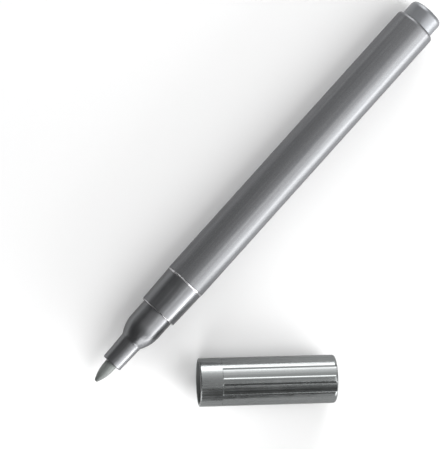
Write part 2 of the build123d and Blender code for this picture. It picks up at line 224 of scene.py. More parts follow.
# %% Lamps
TABLE_MIDDLE = Vector((0, 0, 0))
NOSE_SHOULDER = nib_tip + ALONG_PEN * 17.4 * MM
BESIDE_PEN = Vector((-0.02, -1, 0))
BEYOND_CAP = Vector((0.81, 0.59, 0))
OVER_PEN = Vector((0.48, -1, 0))
PAST_CAP = Vector((0.67, -0.74, 0))
BEFORE_NOSE = Vector((-0.656, -0.755, 0))

add_softbox(
    "pen_box", TABLE_MIDDLE, BESIDE_PEN, elevation=9, distance=FAR,
    width=0.62, height=0.24, radiance=6.4,
)
add_softbox(
    "cap_box", TABLE_MIDDLE, BEYOND_CAP, elevation=16, distance=FAR,
    width=0.36, height=0.34, radiance=3.5,
)
add_softbox(
    "pen_strip", TABLE_MIDDLE, OVER_PEN, elevation=70, distance=FAR,
    width=0.34, height=0.035, radiance=5.8,
)
add_softbox(
    "table_box", TABLE_MIDDLE, PAST_CAP, elevation=48, distance=FAR,
    width=0.4, height=0.4, radiance=1.7,
)
add_softbox(
    "nose_card", NOSE_SHOULDER, BEFORE_NOSE, elevation=26, distance=40 * MM,
    width=19 * MM, height=28 * MM, radiance=4.0,
)

# %% [markdown]
# ## A tent that glows on two sides
#
# Round the table hangs a white tent, which is the world of this scene. One even white would wash the
# metal out, so the cloth is dim, and it glows where a softbox stands, as real cloth does. A picture
# of a studio could do the same, but nodes that read each ray's direction need no file, and every
# glow can be moved by a number. A glow is a power of how far the ray points to a side, so it never
# drops below zero, and a fade ends it where it would reach the dark side of the pen or the cap.

# %% Tent helpers
tent = bpy.data.worlds.new("white_tent")
tent.use_nodes = True
tree = tent.node_tree
ray = add_node(tree, "ShaderNodeTexCoord", {}).outputs["Generated"]


def glow(direction, level, rise):
    """Light that grows towards one side of the tent."""
    turned = add_node(tree, "ShaderNodeVectorMath", {
        "operation": "DOT_PRODUCT", 0: ray, 1: direction.normalized(),
    })
    growth = add_node(tree, "ShaderNodeMath", {
        "operation": "POWER", 0: rise, 1: turned.outputs["Value"],
    })
    light = add_node(tree, "ShaderNodeMath", {
        "operation": "MULTIPLY", 0: growth.outputs["Value"], 1: level,
    })
    return light.outputs["Value"]


def fade(light, direction, dark, bright):
    """The same light, faded out along a direction from a bright place to a dark one."""
    turned = add_node(tree, "ShaderNodeVectorMath", {
        "operation": "DOT_PRODUCT", 0: ray, 1: direction.normalized(),
    })
    share = add_node(tree, "ShaderNodeMapRange", {
        "interpolation_type": "SMOOTHSTEP", "Value": turned.outputs["Value"],
        "From Min": dark, "From Max": bright,
    })
    faded = add_node(tree, "ShaderNodeMath", {
        "operation": "MULTIPLY", 0: light, 1: share.outputs["Result"],
    })
    return faded.outputs["Value"]


print("tent named", tent.name)

# %% Hang the tent
TENT_CLOTH = 0.13
ALONG_CAP = Vector((BEYOND_CAP.y, -BEYOND_CAP.x, 0))
pen_side = glow(BESIDE_PEN, level=0.40, rise=12.0)
pen_side = fade(pen_side, ALONG_PEN, dark=-0.24, bright=0.02)
pen_side = fade(pen_side, ALONG_PEN, dark=0.65, bright=0.30)
cap_side = glow(BEYOND_CAP, level=0.27, rise=12.0)
cap_side = fade(cap_side, ALONG_CAP, dark=-0.35, bright=-0.10)
cap_side = fade(cap_side, ALONG_CAP, dark=0.50, bright=0.25)
cap_side = fade(cap_side, ALONG_PEN, dark=0.05, bright=0.40)
both = add_node(tree, "ShaderNodeMath", {"operation": "ADD", 0: pen_side, 1: cap_side})
whole = add_node(tree, "ShaderNodeMath", {
    "operation": "ADD", 0: both.outputs["Value"], 1: TENT_CLOTH,
})
tree.links.new(whole.outputs["Value"], tree.nodes["Background"].inputs["Strength"])
tree.nodes["Background"].inputs["Color"].default_value = linear("#ffffff")
bpy.context.scene.world = tent
print("tent nodes:", len(tree.nodes))

# %% [markdown]
# ## Satin silver lacquer on the barrel
#
# The barrel is moulded plastic sprayed with silver lacquer: tiny aluminium flakes under a clear
# coat. One grey with some gloss would look like bare plastic, so the flakes and the fine lines that
# wiping leaves along the pen are two noises. The flakes are about 0.03 mm and the lines about 0.1 mm
# apart, too fine for this picture, so they are drawn at 0.25 mm and 0.8 mm. A Mapping node of the
# Texture kind divides by a real size, so a noise of scale 1 has grains of that size.

# %% Patterns of the barrel lacquer
FLAKE_SIZE = 0.25 * MM
WIPE_LENGTH = 60 * MM
WIPE_SPACING = 0.8 * MM
barrel_lacquer, tree, place = new_finish("silver_flake_lacquer")
speck = add_node(tree, "ShaderNodeMapping", {
    "vector_type": "TEXTURE", "Vector": place, "Scale": (FLAKE_SIZE,) * 3,
})
flakes = add_node(tree, "ShaderNodeTexNoise", {
    "Vector": speck.outputs["Vector"], "Scale": 1.0, "Detail": 2.0,
})
wipe = add_node(tree, "ShaderNodeMapping", {
    "vector_type": "TEXTURE", "Vector": place, "Location": nib_tip,
    "Scale": (WIPE_LENGTH, WIPE_SPACING, WIPE_SPACING),
})
lines = add_node(tree, "ShaderNodeTexNoise", {
    "Vector": wipe.outputs["Vector"], "Scale": 1.0, "Detail": 3.0,
})
print("flakes and lines for", barrel_lacquer.name)

# %% Barrel lacquer
# The eye sees a soft, slightly violet grey sheen with a faint sparkle and hardly any mirror image.
blend = add_node(tree, "ShaderNodeMath", {
    "operation": "MULTIPLY", 0: flakes.outputs["Fac"], 1: lines.outputs["Fac"],
})
spread = add_node(tree, "ShaderNodeMapRange", {
    "Value": blend.outputs["Value"], "From Min": 0.05, "From Max": 0.45,
})
silver = add_node(tree, "ShaderNodeMix", {
    "data_type": "RGBA", 0: spread.outputs["Result"], 6: linear("#6a6b6d"), 7: linear("#828385"),
})
satin = add_node(tree, "ShaderNodeMapRange", {
    "Value": lines.outputs["Fac"], "From Min": 0.35, "From Max": 0.65,
    "To Min": 0.52, "To Max": 0.47,
})
grain = add_node(tree, "ShaderNodeBump", {
    "Height": lines.outputs["Fac"], "Strength": 0.2, "Distance": 0.02 * MM,
})
shader = add_node(tree, "ShaderNodeBsdfPrincipled", {
    "Base Color": silver.outputs[2], "Metallic": 0.9, "Roughness": satin.outputs["Result"],
    "Specular Tint": linear("#b0b0b4"), "Coat Weight": 0.2, "Coat Roughness": 0.05,
    "Normal": grain.outputs["Normal"],
})
add_node(tree, "ShaderNodeOutputMaterial", {"Surface": shader.outputs["BSDF"]})
print("made", barrel_lacquer.name)

# %% [markdown]
# ## Metallised plastic of the nose, collar and cap
#
# These are ABS mouldings with a skin of aluminium laid on in a vacuum, under a thin varnish. They
# mirror the room almost like chrome, only softer. A plain metal would look too clean: polishing the
# mould leaves fine lines along each piece, and fingers leave dull patches a few millimetres wide. So
# one noise is drawn out along the piece, another is even, and both change how sharp the mirror is.
# The real lines are hundredths of a millimetre apart, and are drawn 0.5 mm apart so that they show.

# %% Metallised skin
POLISH_LENGTH = 50 * MM
POLISH_SPACING = 0.5 * MM
SMUDGE_SIZE = 4 * MM


def metallise(name, line, light_hex, dark_hex, roughness):
    """A metallised skin whose faint polishing lines run along a piece's centre line."""
    finish, tree, place = new_finish(name)
    lengthwise = add_node(tree, "ShaderNodeMapping", {
        "vector_type": "TEXTURE", "Vector": place, "Location": line["start"],
        "Rotation": line["along"].to_track_quat("X", "Z").to_euler(),
        "Scale": (POLISH_LENGTH, POLISH_SPACING, POLISH_SPACING),
    })
    polish = add_node(tree, "ShaderNodeTexNoise", {
        "Vector": lengthwise.outputs["Vector"], "Scale": 1.0, "Detail": 3.0,
    })
    metal = add_node(tree, "ShaderNodeMix", {
        "data_type": "RGBA", 0: polish.outputs["Fac"], 6: linear(dark_hex), 7: linear(light_hex),
    })
    gloss = add_node(tree, "ShaderNodeMapRange", {
        "Value": polish.outputs["Fac"], "From Min": 0.3, "From Max": 0.7,
        "To Min": roughness * 0.8, "To Max": roughness * 1.2,
    })
    hand = add_node(tree, "ShaderNodeMapping", {
        "vector_type": "TEXTURE", "Vector": place, "Scale": (SMUDGE_SIZE,) * 3,
    })
    smudges = add_node(tree, "ShaderNodeTexNoise", {
        "Vector": hand.outputs["Vector"], "Scale": 1.0, "Detail": 2.0,
    })
    dulling = add_node(tree, "ShaderNodeMapRange", {
        "Value": smudges.outputs["Fac"], "From Min": 0.35, "From Max": 0.65,
        "To Min": 0.93, "To Max": 1.09,
    })
    handled = add_node(tree, "ShaderNodeMath", {
        "operation": "MULTIPLY", 0: gloss.outputs["Result"], 1: dulling.outputs["Result"],
    })
    ripple = add_node(tree, "ShaderNodeBump", {
        "Height": polish.outputs["Fac"], "Strength": 0.1, "Distance": 0.01 * MM,
    })
    shader = add_node(tree, "ShaderNodeBsdfPrincipled", {
        "Base Color": metal.outputs[2], "Metallic": 1.0, "Roughness": handled.outputs["Value"],
        "Specular Tint": linear("#b8b8b8"), "Coat Weight": 0.25, "Coat Roughness": 0.04,
        "Normal": ripple.outputs["Normal"],
    })
    add_node(tree, "ShaderNodeOutputMaterial", {"Surface": shader.outputs["BSDF"]})
    return finish


print("polishing lines", POLISH_SPACING / MM, "mm apart")

# %% Three metallised finishes
# Softly blurred dark mirrors, with long highlights that melt into the grey.
metallised_trim = metallise("metallised_abs_trim", pen_line, "#7d7e80", "#717274", roughness=0.36)
# A sharper mirror with a faint green cast, in which every flute draws thin bright and dark lines.
metallised_cap = metallise("metallised_abs_cap", cap_line, "#888a8a", "#707373", roughness=0.26)
# Rubbed by the cap, and painted lighter as a highlight: a thin line that flashes white wherever it
# meets a lamp.
worn_and_highlight_ring = metallise("worn_and_highlight_aluminium_skin", pen_line, "#c4c4c6", "#b8b8ba", roughness=0.24)
print("made", metallised_trim.name, metallised_cap.name, "and", worn_and_highlight_ring.name)

# %% [markdown]
# ## Felt of the nib
#
# The nib is polyester fibre, pressed and sintered into a rod, and damp with grey paint. Real hairs
# would take thousands of strands for a piece of a few millimetres, so a noise drawn out along the
# pen gives the fibres. Each is about 0.02 mm thick, and is drawn 0.18 mm thick so that it shows.

# %% Fibres of the nib
FIBRE_LENGTH = 2.5 * MM
FIBRE_WIDTH = 0.18 * MM
nib_fibre, tree, place = new_finish("sintered_polyester_fibre")
fibre_place = add_node(tree, "ShaderNodeMapping", {
    "vector_type": "TEXTURE", "Vector": place, "Location": nib_tip,
    "Scale": (FIBRE_LENGTH, FIBRE_WIDTH, FIBRE_WIDTH),
})
fibres = add_node(tree, "ShaderNodeTexNoise", {
    "Vector": fibre_place.outputs["Vector"], "Scale": 1.0, "Detail": 3.0, "Roughness": 0.6,
})
print("fibres", FIBRE_WIDTH / MM, "mm wide for", nib_fibre.name)

# %% Felt nib
# The eye sees a dull, greenish grey that is darker where the tip is soaked, with hardly any gloss.
SOAKED_FIBRES = 2.0  # fibre lengths from the tip over which the felt gets paler
along_nib = add_node(tree, "ShaderNodeSeparateXYZ", {"Vector": fibre_place.outputs["Vector"]})
soaked = add_node(tree, "ShaderNodeMapRange", {
    "Value": along_nib.outputs["X"], "From Min": 0.0, "From Max": SOAKED_FIBRES,
    "To Min": 0.35, "To Max": 0.65,
})
tone = add_node(tree, "ShaderNodeMath", {
    "operation": "MULTIPLY", 0: soaked.outputs["Result"], 1: fibres.outputs["Fac"],
})
felt = add_node(tree, "ShaderNodeMix", {
    "data_type": "RGBA", 0: tone.outputs["Value"], 6: linear("#4f5351"), 7: linear("#a9aeab"),
})
nap = add_node(tree, "ShaderNodeBump", {
    "Height": fibres.outputs["Fac"], "Strength": 0.5, "Distance": 0.05 * MM,
})
shader = add_node(tree, "ShaderNodeBsdfPrincipled", {
    "Base Color": felt.outputs[2], "Roughness": 0.55, "Specular IOR Level": 0.4,
    "Normal": nap.outputs["Normal"],
})
add_node(tree, "ShaderNodeOutputMaterial", {"Surface": shader.outputs["BSDF"]})
print("made", nib_fibre.name)

# %% [markdown]
# ## Plain plastics, rubber and steel
#
# The tail plug is plastic with silver pigment mixed in, and the cap's bore is bare, because the metal
# skin only reaches the outside. The inner cap and the valve are undyed plastic, with a rubber seal, a
# wire spring and a ball, which only show when the pen is opened. Each could be a node tree of its
# own, but these surfaces differ only by their colour, gloss and the size of their mottle, so one
# function makes them all. The real grain is a few hundredths of a millimetre, and is drawn several
# times coarser so that it shows.

# %% Plain surface
def plain_surface(name, light_hex, dark_hex, metallic, roughness, mottle):
    """A plain surface: a mottle of the given size in millimetres, in colour, gloss and height."""
    finish, tree, place = new_finish(name)
    spots = add_node(tree, "ShaderNodeMapping", {
        "vector_type": "TEXTURE", "Vector": place, "Scale": (mottle * MM,) * 3,
    })
    texture = add_node(tree, "ShaderNodeTexNoise", {
        "Vector": spots.outputs["Vector"], "Scale": 1.0, "Detail": 4.0,
    })
    colour = add_node(tree, "ShaderNodeMix", {
        "data_type": "RGBA", 0: texture.outputs["Fac"], 6: linear(dark_hex), 7: linear(light_hex),
    })
    gloss = add_node(tree, "ShaderNodeMapRange", {
        "Value": texture.outputs["Fac"], "To Min": roughness * 0.85, "To Max": roughness * 1.15,
    })
    pores = add_node(tree, "ShaderNodeBump", {
        "Height": texture.outputs["Fac"], "Strength": 0.2, "Distance": 0.01 * MM,
    })
    shader = add_node(tree, "ShaderNodeBsdfPrincipled", {
        "Base Color": colour.outputs[2], "Metallic": metallic, "Roughness": gloss.outputs["Result"],
        "Normal": pores.outputs["Normal"],
    })
    add_node(tree, "ShaderNodeOutputMaterial", {"Surface": shader.outputs["BSDF"]})
    return finish


# A pearly grey with a broad sheen and no mirror image.
plug_plastic = plain_surface(
    "silver_pigmented_polypropylene", "#888a8d", "#7c7e81", metallic=0.85, roughness=0.46, mottle=0.3
)
print("made", plug_plastic.name)

# %% Plastics and rubber inside
# Milky and waxy, with a weak soft gloss.
natural_plastic = plain_surface(
    "natural_polypropylene", "#dcdcd6", "#cfcfc8", metallic=0.0, roughness=0.38, mottle=0.8
)
# A cooler, cleaner white than the undyed plastic beside it.
valve_plastic = plain_surface(
    "white_polypropylene", "#d6dadc", "#c9cdd0", metallic=0.0, roughness=0.35, mottle=0.8
)
# A dim grey that makes the bore look deep.
bare_plastic = plain_surface(
    "bare_grey_abs", "#6c6e6e", "#5e6060", metallic=0.0, roughness=0.45, mottle=0.4
)
# Almost black, with a dull skin.
seal_rubber = plain_surface(
    "nitrile_rubber", "#262628", "#1a1a1c", metallic=0.0, roughness=0.6, mottle=0.2
)
print("made", [m.name for m in (natural_plastic, valve_plastic, bare_plastic, seal_rubber)])

# %% Steels inside
# Bright wire, slightly dulled by drawing.
spring_steel = plain_surface(
    "drawn_stainless_wire", "#a8a8a6", "#8f8f8e", metallic=1.0, roughness=0.28, mottle=0.15
)
# A clear mirror.
ball_steel = plain_surface(
    "polished_ball_steel", "#c2c2c0", "#b4b4b3", metallic=1.0, roughness=0.1, mottle=0.5
)
print("made", spring_steel.name, "and", ball_steel.name)

# %% [markdown]
# ## Drawing a half outline and turning it
#
# On a lathe a round piece is cut by moving a tool along its outline. In Blender the same thing is
# one vertex, extruded from point to point along half of the outline, and then spun about the centre
# line. A stack of cylinders would be quicker to add, but its edges would be sharp and its seams
# open. Corners are rounded in the outline itself, with one extra ring on each side, so that the
# smooth shading of a long wall isn't pulled round the corner.

# %% Arc helper
def swing(start, heading, end, steps):
    """Points after start on the arc that leaves it at a heading, in radians, and ends at end."""
    chord = end - start
    half = math.atan2(chord.y, chord.x) - heading
    half = math.atan2(math.sin(half), math.cos(half))
    points = []
    for k in range(1, steps + 1):
        part = half * k / steps
        reach = chord.length * math.sin(part) / math.sin(half)
        points.append(start + Vector((math.cos(heading + part), math.sin(heading + part))) * reach)
    return points


quarter = swing(Vector((0, 0)), 0, Vector((1, 1)), 2)
print("halfway round a quarter circle:", [round(v, 3) for v in quarter[0]])

# %% Outline helper
SUPPORT = 0.12  # millimetres from a rounded corner to the ring that holds the wall's shading
ROUND_STEPS = 5


def outline(corners, closed):
    """Points of a half outline. A corner is (along, radius) or (along, radius, rounding), in mm."""
    points = []
    count = len(corners)
    for i, corner in enumerate(corners):
        here = Vector(corner[:2])
        if len(corner) == 2:
            points.append(here)
            continue
        back = Vector(corners[i - 1][:2]) - here
        ahead = Vector(corners[(i + 1) % count][:2]) - here
        reach = corner[2] / math.tan(back.angle(ahead) / 2)
        start = here + back.normalized() * reach
        end = here + ahead.normalized() * reach
        if back.length > reach + 2 * SUPPORT:
            points.append(start + back.normalized() * SUPPORT)
        points.append(start)
        points += swing(start, math.atan2(-back.y, -back.x), end, ROUND_STEPS)
        if ahead.length > reach + 2 * SUPPORT:
            points.append(end + ahead.normalized() * SUPPORT)
    if closed:
        points.append(points[0].copy())
    return points


print("a rounded corner has", ROUND_STEPS + 1, "points")

# %% Turning helper
WELD = 0.001 * MM
PEN_STEPS = 128


def turn_piece(name, points, line, steps):
    """Extrude one vertex along the points and spin the chain once round a centre line."""
    places = [line["start"] + (line["along"] * p.x + line["out"] * p.y) * MM for p in points]
    bpy.ops.object.select_all(action="DESELECT")
    bpy.ops.mesh.primitive_plane_add(size=MM)
    piece = bpy.context.object
    piece.name = piece.data.name = name
    bpy.ops.object.mode_set(mode="EDIT")
    bpy.ops.mesh.select_all(action="SELECT")
    bpy.ops.mesh.merge(type="CENTER")
    bpy.ops.transform.translate(value=places[0])
    for here, there in zip(places, places[1:]):
        bpy.ops.mesh.extrude_region_move(TRANSFORM_OT_translate={"value": there - here})
    bpy.ops.mesh.select_all(action="SELECT")
    bpy.ops.mesh.spin(
        steps=steps, angle=2 * math.pi, center=line["start"], axis=line["along"]
    )
    bpy.ops.mesh.select_all(action="SELECT")
    bpy.ops.mesh.remove_doubles(threshold=WELD)
    bpy.ops.mesh.normals_make_consistent(inside=False)
    bpy.ops.object.mode_set(mode="OBJECT")
    return piece


print("pen pieces are turned in", PEN_STEPS, "steps")

# %% Dressing helpers
SMOOTH_ANGLE = math.radians(40)


def dress(piece, finishes, slot_name, body, *nodes):
    """Smooth a finished piece, give it its finishes, and let it ride in place of its solids."""
    bpy.ops.object.select_all(action="DESELECT")
    piece.select_set(True)
    bpy.context.view_layer.objects.active = piece
    bpy.ops.object.shade_smooth_by_angle(angle=SMOOTH_ANGLE)
    for finish in finishes:
        piece.data.materials.append(finish)
    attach(piece, body)
    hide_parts(*nodes)
    piece.data.calc_loop_triangles()
    print(piece.name, len(piece.data.loop_triangles), "triangles")


def second_finish(piece, belongs):
    """Give a piece's second finish to the faces whose middle belongs to it, and count them."""
    chosen = [face for face in piece.data.polygons if belongs(face.center)]
    for face in chosen:
        face.material_index = 1
    return len(chosen)


print("edges over", round(math.degrees(SMOOTH_ANGLE)), "degrees stay sharp")

# %% [markdown]
# ## Nib
#
# The nib is a rod of pressed fibre, ground to a bullet point. A cone with a ball on its end would
# show a kink, so the point is one long arc that leaves the rod smoothly, and a small round on top.

# %% Nib
NIB_RADIUS = 1.675
NIB_POINT = 5.4
TIP_EDGE = Vector((0.25, 0.5))  # where the small round on top meets the long arc
NIB_CHAMFER = 0.3
POINT_STEPS = 16
TIP_STEPS = 6
nib_end = span("nib", pen_line)[1]
top = Vector((0, 0))
rod_start = Vector((NIB_POINT, NIB_RADIUS))
bullet = swing(rod_start, math.pi, TIP_EDGE, POINT_STEPS)[:-1]
nib_points = [top] + swing(top, math.pi / 2, TIP_EDGE, TIP_STEPS) + bullet[::-1]
nib_points += [rod_start, rod_start + Vector((SUPPORT, 0))]
nib_points += outline([
    (nib_end - NIB_CHAMFER, NIB_RADIUS), (nib_end, NIB_RADIUS - NIB_CHAMFER), (nib_end, 0),
], closed=False)
nib = turn_piece("felt_nib", nib_points, pen_line, PEN_STEPS)
dress(nib, [nib_fibre], "nib_fibre", "nib", "nib")

# %% [markdown]
# ## Nose
#
# The nose is one moulding: a slim snout, a shoulder that swells out of it, and a short straight land
# before the collar. Inside it has a guide for the nib and a small chamber. It could be two cones and
# a cylinder, but the light would break where they meet. Here the outline goes once round the wall,
# with the shoulder as an arc, so the turned piece is a closed shell with a real bore.

# %% Shoulder of the nose
SNOUT_RADII = (2.875, 3.15)
SNOUT_LENGTH = 7.9
SHOULDER_LENGTH = 5.4
SHOULDER_STEPS = 12
NOSE_RADIUS = 4.75
nose_start, nose_end = span("nose", pen_line)
snout_end = nose_start + SNOUT_LENGTH
land = Vector((snout_end + SHOULDER_LENGTH, NOSE_RADIUS))
root = Vector((snout_end, SNOUT_RADII[1]))
shoulder = swing(land, math.pi, root, SHOULDER_STEPS)[:-1]
print("shoulder from", round(snout_end, 2), "to", round(land.x, 2), "mm behind the tip")

# %% Turn the nose
SNOUT_ROUND = 0.3
SHOULDER_ROOT = 1.5
NOSE_SPIGOT = 4.0
NOSE_CHAMBER = 2.8
GUIDE_RADIUS = 1.755
GUIDE_LENGTH = 10.0
GUIDE_ROUND = 0.15
collar_start, collar_end = span("collar", pen_line)
guide_end = nose_start + GUIDE_LENGTH
nose_corners = [
    (nose_start, GUIDE_RADIUS, GUIDE_ROUND),
    (nose_start, SNOUT_RADII[0], SNOUT_ROUND),
    (snout_end, SNOUT_RADII[1], SHOULDER_ROOT),
]
nose_corners += [tuple(p) for p in shoulder[::-1]]
nose_corners += [
    tuple(land),
    (land.x + SUPPORT, NOSE_RADIUS),
    (collar_start, NOSE_RADIUS),
    (collar_start, NOSE_SPIGOT),
    (nose_end, NOSE_SPIGOT),
    (nose_end, NOSE_CHAMBER),
    (guide_end + NOSE_CHAMBER - GUIDE_RADIUS, NOSE_CHAMBER),
    (guide_end, GUIDE_RADIUS),
]
nose = turn_piece("nose_cone", outline(nose_corners, closed=True), pen_line, PEN_STEPS)
dress(nose, [metallised_trim], "metallised_trim", "pen", "nose")

# %% [markdown]
# ## Collar
#
# The cap slides onto the collar, so the collar tapers a little and ends in a thin stop flange, the
# bright ring in front of the barrel. A spigot behind the flange is pressed into the barrel, and a
# web inside carries the valve's rubber seal. The flange and the front edge are rubbed by the cap, and
# their metal is painted lighter as a highlight, so they show as thin bright lines. Two loose rings
# could show that, but the real ones are part of the moulding, so faces are picked by their place
# and get a second finish.

# %% Flange and web of the collar
FLANGE_WIDTH = 0.5
WEB_DISTANCES = (6.0, 7.2)
BARREL_RADIUS = axis_height / MM
barrel_start, barrel_end = span("barrel", pen_line)
flange_start = barrel_start - FLANGE_WIDTH
web_start, web_end = (collar_start + distance for distance in WEB_DISTANCES)
print("flange from", round(flange_start, 2), "web from", round(web_start, 2), "mm")

# %% Turn the collar
COLLAR_RADII = (5.45, 5.7)
COLLAR_ROUND = 0.3
FLANGE_ROUNDS = (0.06, 0.1)
SOCKET_RADIUS = 4.03
SPIGOT_RADIUS = 4.42
VALVE_BORE = 3.6
WEB_HOLE = 2.2
collar_corners = [
    (collar_start, SOCKET_RADIUS),
    (collar_start, COLLAR_RADII[0], COLLAR_ROUND),
    (flange_start, COLLAR_RADII[1]),
    (flange_start, BARREL_RADIUS, FLANGE_ROUNDS[0]),
    (barrel_start, BARREL_RADIUS, FLANGE_ROUNDS[1]),
    (barrel_start, SPIGOT_RADIUS),
    (collar_end, SPIGOT_RADIUS),
    (collar_end, VALVE_BORE),
    (web_end, VALVE_BORE),
    (web_end, WEB_HOLE),
    (web_start, WEB_HOLE),
    (web_start, SOCKET_RADIUS),
]
collar = turn_piece("cap_collar", outline(collar_corners, closed=True), pen_line, PEN_STEPS)
dress(collar, [metallised_trim, worn_and_highlight_ring], "metallised_trim", "pen", "collar")

# %% Rubbed and highlight-painted edges of the collar
FRONT_FACE = 0.001  # millimetres that keep the flange's flat front face out


def is_worn_and_highlight_edge(place):
    """Whether a place is on the collar's stop flange or on its front edge."""
    distance, radius = on_line(place, pen_line)
    on_flange = distance > flange_start + FRONT_FACE and radius > COLLAR_RADII[1]
    on_front_edge = distance < collar_start + COLLAR_ROUND and radius > COLLAR_RADII[0] - COLLAR_ROUND
    return on_flange or on_front_edge


# These faces get the lighter metal that paints their highlight lines.
print("rubbed faces:", second_finish(collar, is_worn_and_highlight_edge))

# %% [markdown]
# ## Barrel
#
# The barrel is a straight tube that holds the paint. It could be a cylinder with its ends deleted,
# but a tube with a wall shows a real rim where the tail plug goes in, and its rear edge is rounded.

# %% Barrel
BARREL_BORE = 4.6
BARREL_END_ROUND = 0.8
RIM_ROUND = 0.1
barrel_corners = [
    (barrel_start, BARREL_BORE),
    (barrel_start, BARREL_RADIUS, RIM_ROUND),
    (barrel_end, BARREL_RADIUS, BARREL_END_ROUND),
    (barrel_end, BARREL_BORE, RIM_ROUND),
]
barrel = turn_piece("paint_barrel", outline(barrel_corners, closed=True), pen_line, PEN_STEPS)
dress(barrel, [barrel_lacquer], "barrel_lacquer", "pen", "barrel")

# %% [markdown]
# ## Tail plug
#
# The plug closes the barrel's rear end: a cup with a slightly domed head. A scaled sphere would give
# a dome too, but with a sharp edge. Here the dome is one shallow arc, whose outer part gives way to
# a wider round that joins it to the head's side.

# %% Tail plug
TAIL_RADIUS = 4.8
TAIL_DOME = 0.4
TAIL_CORNER = 1.2
DOME_STEPS = 8
DOME_KEPT = 5  # steps of the dome inside the corner's round
CUP_RADIUS = 3.32
CUP_WALL = 1.1
CUP_ROUND = 0.2
tail_start, tail_end = span("tail_plug", pen_line)
dome_edge = tail_end - TAIL_DOME
dome = swing(Vector((tail_end, 0)), math.pi / 2, Vector((dome_edge, TAIL_RADIUS)), DOME_STEPS)
tail_corners = [(tail_end, 0)] + [tuple(p) for p in dome[:DOME_KEPT]]
tail_corners += [
    (dome_edge, TAIL_RADIUS, TAIL_CORNER),
    (barrel_end, TAIL_RADIUS, RIM_ROUND),
    (barrel_end, SPIGOT_RADIUS),
    (tail_start, SPIGOT_RADIUS, CUP_ROUND),
    (tail_start, CUP_RADIUS, CUP_ROUND),
    (dome_edge - CUP_WALL, CUP_RADIUS),
    (dome_edge - CUP_WALL, 0),
]
tail = turn_piece("tail_plug_cup", outline(tail_corners, closed=False), pen_line, PEN_STEPS)
dress(tail, [plug_plastic], "plug_plastic", "pen", "tail_plug")

# %% [markdown]
# ## Cap shell
#
# The cap is a deep cup. A smooth band runs round its mouth, and behind that nine shallow flutes give
# the fingers a hold. The cup is turned with one step for each degree, starting on the edge of a rib,
# so that every flute begins and ends on a row of edges. The rows between the ribs are then drawn in
# to the flute's floor, and the rows at its sides only part of the way, so its walls slope and show
# as thin lines. Cutting the flutes out would leave sharp corners that no moulded cap has.

# %% Sizes of the cap
CAP_RADIUS = 6.5
CAP_LENGTH = span("cap_shell", cap_line)[1]
CAP_BORE = 5.75
CAP_SEAT = 5.55
CAP_SEAT_START = mouth["dims"]["length_mm"]
CAP_FLOOR = span("inner_cap", cap_line)[1]
FLUTE_START = 6.0
FLUTE_FLOOR = 6.33
FLUTE_RAMP = 0.1
RIB_DEGREES = 11
RIB_PHASE = -5.4
rib_edge = math.radians(RIB_PHASE - RIB_DEGREES / 2)
cap_line["out"] = Matrix.Rotation(rib_edge, 3, cap_along) @ UP
print("flutes from", FLUTE_START, "mm to the closed end at", round(CAP_LENGTH, 2), "mm")

# %% Where the flutes run out
# They end where the round at the cap's closed end comes down to their floor.
CAP_END_ROUND = 0.9
END_STEPS = 4
round_start = Vector((CAP_LENGTH - CAP_END_ROUND, CAP_RADIUS))
round_end = Vector((CAP_LENGTH, CAP_RADIUS - CAP_END_ROUND))
drop = CAP_END_ROUND - (CAP_RADIUS - FLUTE_FLOOR)
run_out = Vector((round_start.x + math.sqrt(CAP_END_ROUND**2 - drop**2), FLUTE_FLOOR))
run_heading = -math.acos(drop / CAP_END_ROUND)
end_round = swing(round_start, 0, run_out, END_STEPS)
end_round += swing(run_out, run_heading, round_end, END_STEPS)
print("flutes run out at", round(run_out.x, 2), "mm")

# %% Turn the cap
CAP_STEPS = 360
MOUTH_ROUNDS = (0.12, 0.3)
cap_corners = [
    (0, CAP_BORE, MOUTH_ROUNDS[0]),
    (0, CAP_RADIUS, MOUTH_ROUNDS[1]),
    (FLUTE_START - SUPPORT, CAP_RADIUS),
    (FLUTE_START, CAP_RADIUS),
    (FLUTE_START + FLUTE_RAMP, CAP_RADIUS),
    (FLUTE_START + FLUTE_RAMP + SUPPORT, CAP_RADIUS),
    tuple(round_start - Vector((SUPPORT, 0))),
    tuple(round_start),
]
cap_corners += [tuple(p) for p in end_round]
cap_corners += [
    tuple(round_end - Vector((0, SUPPORT))),
    (CAP_LENGTH, 0),
    (CAP_FLOOR, 0),
    (CAP_FLOOR, CAP_SEAT),
    (CAP_SEAT_START, CAP_SEAT),
    (CAP_SEAT_START, CAP_BORE),
]
cap_shell = turn_piece("cap_shell_fluted", outline(cap_corners, closed=True), cap_line, CAP_STEPS)
print("turned", len(cap_shell.data.polygons), "faces")

# %% Find the rows of the flutes
FLUTE_COUNT = 9
PITCH = 360 / FLUTE_COUNT
WALL_SHAPE = (0.0, 0.2, 0.5, 0.8, 1.0)  # share of the depth at each degree from a rib
NUDGE = 0.1  # degrees that keep the first row of a rib from falling to the flute before it


def flute_depth(place, distance):
    """How far a place is drawn in, from 0 on a rib to 1 on a flute's floor."""
    offset = place - cap_start
    side = cap_along.cross(cap_line["out"])
    angle = math.degrees(math.atan2(offset.dot(side), offset.dot(cap_line["out"]))) + NUDGE
    from_rib = round(min(angle % PITCH - RIB_DEGREES, PITCH - angle % PITCH))
    wall = WALL_SHAPE[max(0, min(from_rib, len(WALL_SHAPE) - 1))]
    return wall * max(0.0, min((distance - FLUTE_START) / FLUTE_RAMP, 1.0))


flute_rows = {}
for vertex in cap_shell.data.vertices:
    distance, radius = on_line(vertex.co, cap_line)
    depth = flute_depth(vertex.co, distance)
    if depth > 0 and distance < run_out.x and radius > FLUTE_FLOOR:
        row = (round(distance, 3), round(radius, 3), round(depth, 2))
        flute_rows.setdefault(row, []).append(vertex.index)
print("rows to draw in:", len(flute_rows))

